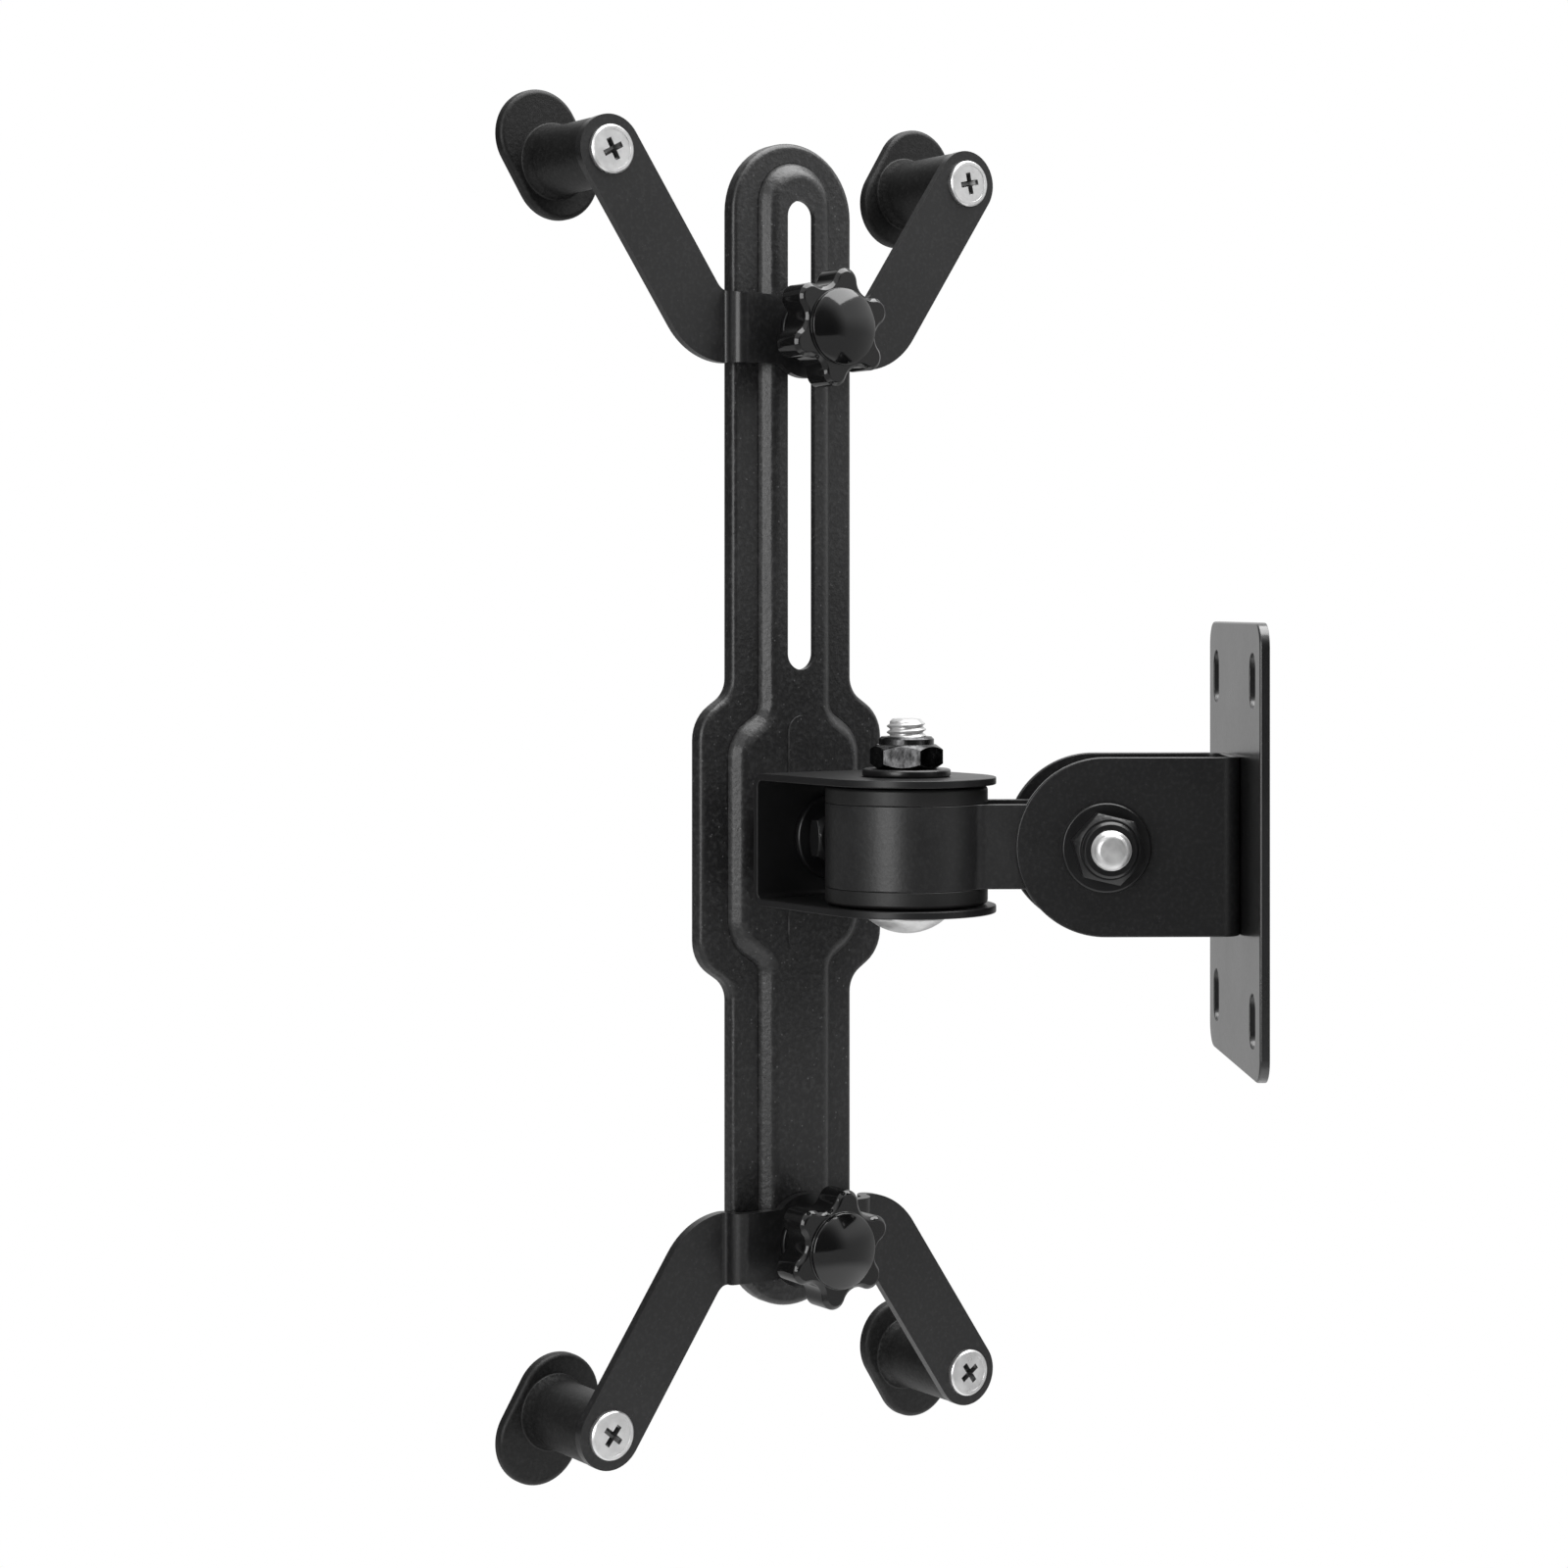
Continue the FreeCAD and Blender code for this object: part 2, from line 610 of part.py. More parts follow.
def arm():
    # the section in plan view is a band that steps back past the rim of the spine
    wall_in = spine_half + step_gap
    wall_out = wall_in + arm_thick
    far = arm_span + arm_width
    outer_r = step_bend + arm_thick
    corners = [
        (-far, leg_face), (-wall_out, leg_face), (-wall_out, hub_face), (wall_out, hub_face),
        (wall_out, leg_face), (far, leg_face), (far, leg_back), (wall_in, leg_back),
        (wall_in, hub_back), (-wall_in, hub_back), (-wall_in, leg_back), (-far, leg_back),
    ]
    points = [Vec(x, y, 0) for x, y in corners]
    section = Part.Face(Part.makePolygon(points + [points[0]])).extrude(Vec(0, 0, arm_rise + 2 * arm_width))
    section.translate(Vec(0, 0, -arm_width))

    def uprights(x, y):
        return [e for e in section.Edges if runs_along(e, EZ)
                and abs(abs(e.BoundBox.XMin) - x) < near and abs(e.BoundBox.YMin - y) < near]
    section = section.makeFillet(outer_r, uprights(wall_out, hub_face) + uprights(wall_in, leg_back))
    section = section.makeFillet(step_bend, uprights(wall_out, leg_face) + uprights(wall_in, hub_back))
    shape = section.common(arm_plan(leg_back - over, hub_face + over))
    shape = shape.fuse(cylinder(hub_r, hub_back, hub_face, EY)).removeSplitter()
    shape = shape.cut(cylinder(stud_r + bolt_gap, hub_back - over, hub_face + over, EY))
    for side in (-1, 1):
        hole = cylinder(hook_screw_r + bolt_gap, leg_back - over, leg_face + over, EY)
        shape = shape.cut(placed_wall(hole, side * arm_span, 0, arm_rise))
    return shape


def hook(side):
    # moulded hook for one arm end: post, flare and oval foot
    foot = stadium(foot_end_r, -foot_reach_in, foot_reach_out, foot_thick)
    foot = foot.makeFillet(foot_round, [e for e in foot.Edges if e.BoundBox.YMin > -near])
    foot = foot.makeChamfer(foot_edge_break, [e for e in foot.Edges if e.BoundBox.YMax < near - foot_thick])
    foot.rotate(Vec(0, 0, 0), EY, 90 - foot_angle)
    foot.translate(Vec(0, foot_face, 0))
    sunk = -foot_face + foot_sink
    post = revolve_bar([(0, -leg_back), (post_r, -leg_back), (post_r, -foot_face - post_flare),
                        (post_foot_r, -foot_face), (post_foot_r, sunk), (0, sunk)], -EY)
    shape = foot.fuse(post).removeSplitter()
    pilot = cylinder(hook_screw_r, leg_face - hook_screw_length, leg_back + over, EY)
    shape = shape.cut(pilot)
    if side < 0:
        shape = shape.mirror(Vec(0, 0, 0), EX)
    return placed_wall(shape, side * arm_span, 0, arm_rise)


def hook_screw(side):
    # flat-headed screw with a cross recess
    edge = hook_screw_edge
    top = leg_face + hook_screw_head_height
    tip = leg_face - hook_screw_length
    points = [(0, top), (hook_screw_head_r - edge, top), (hook_screw_head_r, top - edge),
              (hook_screw_head_r, leg_face), (hook_screw_r, leg_face), (hook_screw_r, tip + hook_screw_tip),
              (hook_screw_r - hook_screw_tip, tip), (0, tip)]
    shape = revolve_bar(points, EY)
    for long_x, long_z in ((recess_length, recess_width), (recess_width, recess_length)):
        bar = Part.makeBox(long_x, recess_depth + over, long_z,
                           Vec(-long_x / 2, top - recess_depth, -long_z / 2))
        shape = shape.cut(bar)
    shape.rotate(Vec(0, 0, 0), EY, hook_screw_turn * side)
    return placed_wall(shape, side * arm_span, 0, arm_rise)


def clamp_bolt():
    # cup-headed bolt from behind the spine with a square neck in its slot
    seat = spine_face - spine_thick - run_gap
    end = knob_back + stud_in_knob
    bolt = domed_bolt(stud_r, end - seat, stud_head_r, stud_head_height, EY)
    bolt.translate(Vec(0, seat, 0))
    neck_end = spine_face - neck_short
    neck = Part.makeBox(stud_neck, neck_end - seat, stud_neck, Vec(-stud_neck / 2, seat, -stud_neck / 2))
    return bolt.fuse(neck).removeSplitter()


def knob(turn):
    # six-lobed knob with a collar, a rounded rim and a domed cap
    body_back = knob_back + knob_collar_height
    body_front = body_back + knob_body_height
    half_pitch = math.pi / knob_lobes
    across = knob_lobe_r + knob_hollow_r
    hollow_centre = knob_lobe_centre * math.cos(half_pitch) + math.sqrt(
        across ** 2 - (knob_lobe_centre * math.sin(half_pitch)) ** 2)
    # angle at the middle of the knob, and distance, of the point where lobe and hollow meet
    meet_x = knob_lobe_centre + (hollow_centre * math.cos(half_pitch) - knob_lobe_centre) * knob_lobe_r / across
    meet_z = hollow_centre * math.sin(half_pitch) * knob_lobe_r / across
    meet_r, meet_angle = math.hypot(meet_x, meet_z), math.atan2(meet_z, meet_x)

    def rim_point(radius, angle):
        return (radius * math.cos(angle), body_back, radius * math.sin(angle))
    edges = []
    for k in range(knob_lobes):
        mid = math.radians(knob_phase + turn) + 2 * half_pitch * k
        start = rim_point(meet_r, mid - meet_angle)
        end = rim_point(meet_r, mid + meet_angle)
        after = rim_point(meet_r, mid + 2 * half_pitch - meet_angle)
        edges.append(arc(start, rim_point(knob_lobe_centre + knob_lobe_r, mid), end))
        edges.append(arc(end, rim_point(hollow_centre - knob_hollow_r, mid + half_pitch), after))
    disc = Part.Face(Part.Wire(edges)).extrude(Vec(0, knob_body_height, 0))
    rims = [e for e in disc.Edges if e.BoundBox.YLength < near]
    disc = disc.makeChamfer(knob_edge_break, rims)
    core = revolve_bar([(knob_dome_r, body_front + knob_dome_rim), (knob_dome_r, body_back + over),
                        (knob_collar_r, body_back + over), (knob_collar_r, knob_back), (0, knob_back)],
                       EY, body_front + knob_dome_height)
    bore = cylinder(stud_r + shaft_gap, knob_back - over, knob_back + stud_in_knob + bore_spare, EY)
    return disc.fuse(core).removeSplitter().cut(bore)


def build_arm(name, z, up, turn):
    # one arm set: up is 1 for legs that rise and -1 for legs that hang
    def place(shape, flip):
        moved = shape.copy()
        if flip and up < 0:
            moved = moved.mirror(Vec(0, 0, 0), EZ)
        moved.translate(Vec(0, 0, z))
        return placed_holder(moved)
    export(name + "_arm", place(arm(), True))
    for side, word in ((-1, "right"), (1, "left")):
        export(name + "_hook_" + word, place(hook(side), True))
        export(name + "_hook_screw_" + word, place(hook_screw(side), True))
    export(name + "_clamp_bolt", place(clamp_bolt(), False))
    ring = washer(clamp_washer_r, stud_r + bolt_gap, clamp_washer_thick, EY)
    export(name + "_clamp_washer", place(placed_wall(ring, 0, hub_face, 0), False))
    export(name + "_knob", place(knob(turn), False))


def build_holder():
    export("spine", placed_holder(spine()))
    washer_back = base_in + run_gap
    ring = washer(washer_r, bolt_r + bolt_gap, washer_thick, EY)
    export("spin_washer", placed_holder(placed_wall(ring, 0, washer_back, 0)))
    nut_back = washer_back + washer_thick
    export("spin_nut", placed_holder(placed_wall(hex_nut(spin_nut_height, EY), 0, nut_back, 0)))
    seat = spine_face - spine_thick
    length = nut_back + spin_nut_height + spin_bolt_end - seat
    bolt = domed_bolt(bolt_r, length, head_r, low_head_height, EY)
    export("spin_bolt", placed_holder(placed_wall(bolt, 0, seat, 0)))


os.makedirs("parts", exist_ok=True)
build_wall_side()
build_link()
build_swivel()
build_holder()
build_arm("upper", upper_arm_z, 1, 0.0)
build_arm("lower", lower_arm_z, -1, lower_knob_turn)
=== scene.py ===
import bpy, bmesh, json, math
from mathutils import Matrix, Vector

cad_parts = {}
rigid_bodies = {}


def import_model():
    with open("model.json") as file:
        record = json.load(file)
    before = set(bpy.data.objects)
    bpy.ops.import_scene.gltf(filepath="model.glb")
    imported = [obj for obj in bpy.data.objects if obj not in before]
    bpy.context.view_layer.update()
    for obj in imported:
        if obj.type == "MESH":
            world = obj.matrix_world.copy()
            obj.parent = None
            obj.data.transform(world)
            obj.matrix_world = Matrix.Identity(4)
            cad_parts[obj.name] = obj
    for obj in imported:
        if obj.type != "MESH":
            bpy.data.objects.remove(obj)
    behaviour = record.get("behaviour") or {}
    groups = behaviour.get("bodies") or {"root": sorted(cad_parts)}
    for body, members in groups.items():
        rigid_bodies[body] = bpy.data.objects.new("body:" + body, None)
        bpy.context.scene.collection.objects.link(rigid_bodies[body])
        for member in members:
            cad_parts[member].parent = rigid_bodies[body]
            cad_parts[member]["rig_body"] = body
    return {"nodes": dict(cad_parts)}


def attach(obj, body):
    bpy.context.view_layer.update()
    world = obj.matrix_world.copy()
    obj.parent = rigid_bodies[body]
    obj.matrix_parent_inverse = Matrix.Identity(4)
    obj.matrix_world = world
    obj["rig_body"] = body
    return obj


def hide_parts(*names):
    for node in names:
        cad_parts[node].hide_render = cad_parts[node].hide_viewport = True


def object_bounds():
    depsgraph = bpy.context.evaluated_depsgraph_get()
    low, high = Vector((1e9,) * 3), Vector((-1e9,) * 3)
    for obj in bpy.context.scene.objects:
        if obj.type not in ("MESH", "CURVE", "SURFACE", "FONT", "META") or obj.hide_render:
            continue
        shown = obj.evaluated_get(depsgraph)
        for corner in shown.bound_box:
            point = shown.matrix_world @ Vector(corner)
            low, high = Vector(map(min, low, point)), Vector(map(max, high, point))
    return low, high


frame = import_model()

cadLow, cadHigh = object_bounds()
cadNodes = frame["nodes"]
print("mount loaded:", len(cadNodes), "pieces")

# the holder's place: it stands askew to the wall

swivelAxis = Vector((0, -0.0687, 0))
holderTurn = math.radians(-56.7)
outwards = (Matrix.Rotation(holderTurn, 3, "Z") @ Vector((0, 1, 0))).normalized()


def holderPoint(along, out, up):
    return swivelAxis + Matrix.Rotation(holderTurn, 3, "Z") @ Vector((along, out, up))


def clearSelection():
    if bpy.context.object and bpy.context.object.mode != "OBJECT":
        bpy.ops.object.mode_set(mode="OBJECT")
    bpy.ops.object.select_all(action="DESELECT")


def makeActive(piece):
    clearSelection()
    piece.select_set(True)
    bpy.context.view_layer.objects.active = piece


def startEdit(piece, kind="FACE", pick="DESELECT"):
    makeActive(piece)
    bpy.ops.object.mode_set(mode="EDIT")
    bpy.ops.mesh.select_mode(type=kind)
    bpy.ops.mesh.select_all(action=pick)


def endEdit():
    bpy.ops.object.mode_set(mode="OBJECT")


# camera, where the photographer stood

viewSetup = {
    "place": (0.635728, -0.110485, 0.048029),
    "heading": 88.474,  # degrees about the upright axis
    "lens": 72.01,
    "sensor": 36.0,
    "shiftUp": -0.1128,
    "clip": (0.01, 50.0),
}


def addCamera(setup):
    camData = bpy.data.cameras.new("viewCamera")
    camData.lens = setup["lens"]
    camData.sensor_width = setup["sensor"]
    camData.shift_y = setup["shiftUp"]
    camData.clip_start, camData.clip_end = setup["clip"]
    camData.dof.use_dof = False
    cam = bpy.data.objects.new("viewCamera", camData)
    cam.location = setup["place"]
    cam.rotation_euler = (math.radians(90), 0, math.radians(setup["heading"]))
    bpy.context.collection.objects.link(cam)
    bpy.context.scene.camera = cam


addCamera(viewSetup)
bpy.context.scene.view_settings.view_transform = "Standard"
print("camera placed")

# small helpers for node trees


def giveSocket(tree, socket, given):
    # a plain value is set, an output is linked
    if isinstance(given, (int, float, tuple)):
        socket.default_value = given
    else:
        tree.links.new(given, socket)


def rangeNode(tree, value, fromMin, fromMax, toMin, toMax, smooth=False):
    node = tree.nodes.new("ShaderNodeMapRange")
    if smooth:
        node.interpolation_type = "SMOOTHSTEP"
    node.inputs["From Min"].default_value = fromMin
    node.inputs["From Max"].default_value = fromMax
    for socketName, given in (("To Min", toMin), ("To Max", toMax)):
        giveSocket(tree, node.inputs[socketName], given)
    tree.links.new(value, node.inputs["Value"])
    return node.outputs["Result"]


def mathNode(tree, operation, a, b):
    node = tree.nodes.new("ShaderNodeMath")
    node.operation = operation
    giveSocket(tree, node.inputs[0], a)
    giveSocket(tree, node.inputs[1], b)
    return node.outputs[0]


def vectorNode(tree, operation, vector, other=None):
    node = tree.nodes.new("ShaderNodeVectorMath")
    node.operation = operation
    tree.links.new(vector, node.inputs[0])
    if other is not None:
        giveSocket(tree, node.inputs[1], other)
    return node.outputs["Value"]


def mixValue(tree, factor, a, b):
    node = tree.nodes.new("ShaderNodeMix")
    node.data_type = "FLOAT"
    for socketName, given in (("Factor", factor), ("A", a), ("B", b)):
        giveSocket(tree, node.inputs[socketName], given)
    return node.outputs["Result"]


def mixColour(tree, factor, a, b):
    node = tree.nodes.new("ShaderNodeMix")
    node.data_type = "RGBA"
    for place, given in (("Factor", factor), (6, a), (7, b)):
        giveSocket(tree, node.inputs[place], given)
    return node.outputs[2]


def noiseNode(tree, coords, scale=None, detail=3.0, roughness=0.55):
    noise = tree.nodes.new("ShaderNodeTexNoise")
    noise.inputs["Detail"].default_value = detail
    noise.inputs["Roughness"].default_value = roughness
    if scale is not None:
        giveSocket(tree, noise.inputs["Scale"], scale)
    tree.links.new(coords, noise.inputs["Vector"])
    return noise.outputs["Fac"]


# studio: white surroundings that are darker behind the camera, two soft boxes and a pale floor

studio = {
    "fill": 0.27,  # what matt surfaces get from the room
    "roomWhite": 0.90,
    "roomDark": 0.07,
    "darkHeading": (0.97, 0.24, 0.0),  # behind the camera
    "darkFrom": 0.62,
    "darkTo": 0.93,
    "sideHeading": (-0.30, -0.92, 0.25),  # towards the left, where the room is dimmer
    "sideDark": 0.15,
    "sideFrom": 0.50,
    "sideTo": 0.88,
    "lowDark": 0.50,  # near the floor
    "lowFrom": 0.35,
    "lowTo": -0.05,
    "floorDrop": 0.12,
    "floorSize": 3.0,
    "floorColour": (0.90, 0.90, 0.90, 1),
    "floorRoughness": 0.9,
    "floorGlow": 0.45,  # how bright the far floor is in shiny surfaces
    "shadowReach": 0.15,
    "whiteFrom": 0.38,
}

softBoxes = {
    "topBox": {"place": (0.0, 0.20, 0.90), "size": (0.90, 1.10), "power": 15.0},
    "leftBox": {"place": (1.10, -0.72, 0.20), "size": (0.60, 0.80), "power": 6.0},
}


def addWorld(setup):
    world = bpy.data.worlds.new("studioRoom")
    bpy.context.scene.world = world
    world.use_nodes = True
    tree = world.node_tree
    tree.nodes.clear()
    out = tree.nodes.new("ShaderNodeOutputWorld")
    path = tree.nodes.new("ShaderNodeLightPath").outputs
    heading = tree.nodes.new("ShaderNodeTexCoord").outputs["Generated"]
    behind = rangeNode(tree, vectorNode(tree, "DOT_PRODUCT", heading, setup["darkHeading"]), setup["darkFrom"],
                       setup["darkTo"], setup["roomWhite"], setup["roomDark"], smooth=True)
    aside = rangeNode(tree, vectorNode(tree, "DOT_PRODUCT", heading, setup["sideHeading"]), setup["sideFrom"],
                      setup["sideTo"], 1.0, setup["sideDark"], smooth=True)
    split = tree.nodes.new("ShaderNodeSeparateXYZ")
    tree.links.new(heading, split.inputs[0])
    low = rangeNode(tree, split.outputs["Z"], setup["lowTo"], setup["lowFrom"], setup["lowDark"], 1.0, smooth=True)
    room = mathNode(tree, "MULTIPLY", mathNode(tree, "MULTIPLY", behind, aside), low)
    # shiny surfaces see the room and matt ones the plain fill, while the picture's background is white
    lit = mixValue(tree, path["Is Glossy Ray"], setup["fill"], room)
    seen = mathNode(tree, "MAXIMUM", path["Is Camera Ray"], path["Is Transmission Ray"])
    light = tree.nodes.new("ShaderNodeBackground")
    light.inputs["Color"].default_value = (1, 1, 1, 1)
    tree.links.new(mixValue(tree, seen, lit, 1.0), light.inputs["Strength"])
    tree.links.new(light.outputs[0], out.inputs["Surface"])


def addSoftBox(name, setup):
    lampData = bpy.data.lights.new(name, "AREA")
    lampData.shape = "RECTANGLE"
    lampData.size, lampData.size_y = setup["size"]
    lampData.energy = setup["power"]
    lamp = bpy.data.objects.new(name, lampData)
    lamp.location = setup["place"]
    aim = (cadLow + cadHigh) / 2 - Vector(setup["place"])
    lamp.rotation_euler = aim.to_track_quat("-Z", "Y").to_euler()
    bpy.context.collection.objects.link(lamp)


def addFloor(setup):
    clearSelection()
    bpy.ops.mesh.primitive_plane_add(size=setup["floorSize"], location=(0, 0, cadLow.z - setup["floorDrop"]))
    floor = bpy.context.object
    floor.name = "floor"
    mat = bpy.data.materials.new("paleFloor")
    mat.use_nodes = True
    tree = mat.node_tree
    shader = tree.nodes["Principled BSDF"]
    shader.inputs["Base Color"].default_value = setup["floorColour"]
    shader.inputs["Roughness"].default_value = setup["floorRoughness"]
    path = tree.nodes.new("ShaderNodeLightPath").outputs
    reach = vectorNode(tree, "LENGTH", tree.nodes.new("ShaderNodeTexCoord").outputs["Object"])
    # the floor runs out into white
    far = rangeNode(tree, reach, setup["shadowReach"], setup["whiteFrom"], 0.0, 1.0, smooth=True)
    seen = mathNode(tree, "MAXIMUM", path["Is Camera Ray"], path["Is Glossy Ray"])
    white = tree.nodes.new("ShaderNodeEmission")
    tree.links.new(rangeNode(tree, path["Is Camera Ray"], 0.0, 1.0, setup["floorGlow"], 1.0), white.inputs["Strength"])
    mixer = tree.nodes.new("ShaderNodeMixShader")
    tree.links.new(mathNode(tree, "MULTIPLY", seen, far), mixer.inputs["Fac"])
    tree.links.new(shader.outputs[0], mixer.inputs[1])
    tree.links.new(white.outputs[0], mixer.inputs[2])
    tree.links.new(mixer.outputs[0], tree.nodes["Material Output"].inputs["Surface"])
    floor.data.materials.append(mat)


addWorld(studio)
for boxName, boxSetup in softBoxes.items():
    addSoftBox(boxName, boxSetup)
addFloor(studio)
print("studio lit")

# shared effects, each a node group that is built once


def newGroup(name, inputs, outputs):
    group = bpy.data.node_groups.new(name, "ShaderNodeTree")
    for socketName, kind, value in inputs:
        socket = group.interface.new_socket(socketName, in_out="INPUT", socket_type=kind)
        socket.default_value = value
    for socketName, kind in outputs:
        group.interface.new_socket(socketName, in_out="OUTPUT", socket_type=kind)
    start = group.nodes.new("NodeGroupInput").outputs
    end = group.nodes.new("NodeGroupOutput").inputs
    coords = group.nodes.new("ShaderNodeTexCoord").outputs["Object"]
    return group, start, end, coords


driftPattern = {
    "slowLow": 0.32,
    "slowHigh": 0.68,
    "fineSize": 900.0,
    "slowShare": 0.7,
    "fineShare": 0.3,
    "blotchLow": 0.3,
    "blotchHigh": 0.7,
}


def buildToneDrift(pattern):
    # slow colour and gloss changes, as on any coat that was sprayed and handled
    group, start, end, coords = newGroup(
        "toneDrift",
        [
            ("Colour", "NodeSocketColor", (0.5, 0.5, 0.5, 1)),
            ("Darker", "NodeSocketFloat", 0.8),
            ("Size", "NodeSocketFloat", 60.0),
            ("Gloss Low", "NodeSocketFloat", 0.3),
            ("Gloss High", "NodeSocketFloat", 0.4),
        ],
        [("Colour", "NodeSocketColor"), ("Roughness", "NodeSocketFloat")],
    )
    slow = noiseNode(group, coords, scale=start["Size"], detail=4.0)
    mask = rangeNode(group, slow, pattern["slowLow"], pattern["slowHigh"], start["Darker"], 1.0, smooth=True)
    shade = group.nodes.new("ShaderNodeVectorMath")
    shade.operation = "SCALE"
    group.links.new(start["Colour"], shade.inputs[0])
    group.links.new(mask, shade.inputs["Scale"])
    group.links.new(shade.outputs[0], end["Colour"])
    fine = noiseNode(group, coords, scale=pattern["fineSize"], detail=2.0)
    blotch = mathNode(group, "ADD", mathNode(group, "MULTIPLY", slow, pattern["slowShare"]),
                      mathNode(group, "MULTIPLY", fine, pattern["fineShare"]))
    rough = rangeNode(group, blotch, pattern["blotchLow"], pattern["blotchHigh"], start["Gloss Low"],
                      start["Gloss High"])
    group.links.new(rough, end["Roughness"])
    return group


wearSheenShadePattern = {
    "patchSize": 300.0,
    "patchLow": 0.38,
    "patchHigh": 0.66,
    "leastWearSheen": 0.15,
    # how far, and to what colour, the recess is darkened as painted shade
    "paintedShadeShare": 0.8,
    "paintedShade": (0.02, 0.02, 0.02, 1),
}


def buildEdgeWearAndSheen(pattern):
    # paint rubbed thin along the softened edges, which also serves as a painted highlight along them, and painted
    # shade in a recess
    group, start, end, coords = newGroup(
        "edgeWearAndSheen",
        [
            ("Colour", "NodeSocketColor", (0.5, 0.5, 0.5, 1)),
            ("Wear Sheen Colour", "NodeSocketColor", (0.5, 0.5, 0.5, 1)),
            ("Amount", "NodeSocketFloat", 0.5),
        ],
        [("Colour", "NodeSocketColor")],
    )
    # the rounded edge faces take the lighter tone: rubbed paint and a painted edge highlight
    edge = group.nodes.new("ShaderNodeAttribute")
    edge.attribute_name = "softEdge"
    patches = noiseNode(group, coords, scale=pattern["patchSize"], detail=5.0, roughness=0.65)
    patchy = rangeNode(group, patches, pattern["patchLow"], pattern["patchHigh"], pattern["leastWearSheen"], 1.0, smooth=True)
    wearSheen = mathNode(group, "MULTIPLY", mathNode(group, "MULTIPLY", edge.outputs["Fac"], patchy), start["Amount"])
    rubAndSheen = mixColour(group, wearSheen, start["Colour"], start["Wear Sheen Colour"])
    # faces in the driver's recess are darkened: painted shade
    deep = group.nodes.new("ShaderNodeAttribute")
    deep.attribute_name = "sunken"
    paintedShade = mathNode(group, "MULTIPLY", deep.outputs["Fac"], pattern["paintedShadeShare"])
    group.links.new(mixColour(group, paintedShade, rubAndSheen, pattern["paintedShade"]), end["Colour"])
    return group


grainPattern = {
    "speckCore": 0.10,
    "speckRim": 0.22,
    "sparseSize": 420.0,
    "sparseLow": 0.52,
    "sparseHigh": 0.60,
    "topsLow": 0.48,
    "topsHigh": 0.70,
}


def buildGrain(pattern):
    # pimples of a sprayed or moulded surface, as a height, their tops and a speck mask
    group, start, end, coords = newGroup(
        "surfaceGrain",
        [
            ("Size", "NodeSocketFloat", 1500.0),
            ("Speck Size", "NodeSocketFloat", 900.0),
        ],
        [("Height", "NodeSocketFloat"), ("Tops", "NodeSocketFloat"), ("Specks", "NodeSocketFloat")],
    )
    pimples = noiseNode(group, coords, scale=start["Size"], detail=2.0, roughness=0.5)
    group.links.new(pimples, end["Height"])
    group.links.new(rangeNode(group, pimples, pattern["topsLow"], pattern["topsHigh"], 0.0, 1.0), end["Tops"])
    cells = group.nodes.new("ShaderNodeTexVoronoi")
    group.links.new(coords, cells.inputs["Vector"])
    group.links.new(start["Speck Size"], cells.inputs["Scale"])
    specks = rangeNode(group, cells.outputs["Distance"], pattern["speckCore"], pattern["speckRim"], 1.0, 0.0,
                       smooth=True)
    sparse = rangeNode(group, noiseNode(group, coords, scale=pattern["sparseSize"]), pattern["sparseLow"],
                       pattern["sparseHigh"], 0.0, 1.0, smooth=True)
    group.links.new(mathNode(group, "MULTIPLY", specks, sparse), end["Specks"])
    return group


toneDrift = buildToneDrift(driftPattern)
edgeWearAndSheen = buildEdgeWearAndSheen(wearSheenShadePattern)
surfaceGrain = buildGrain(grainPattern)
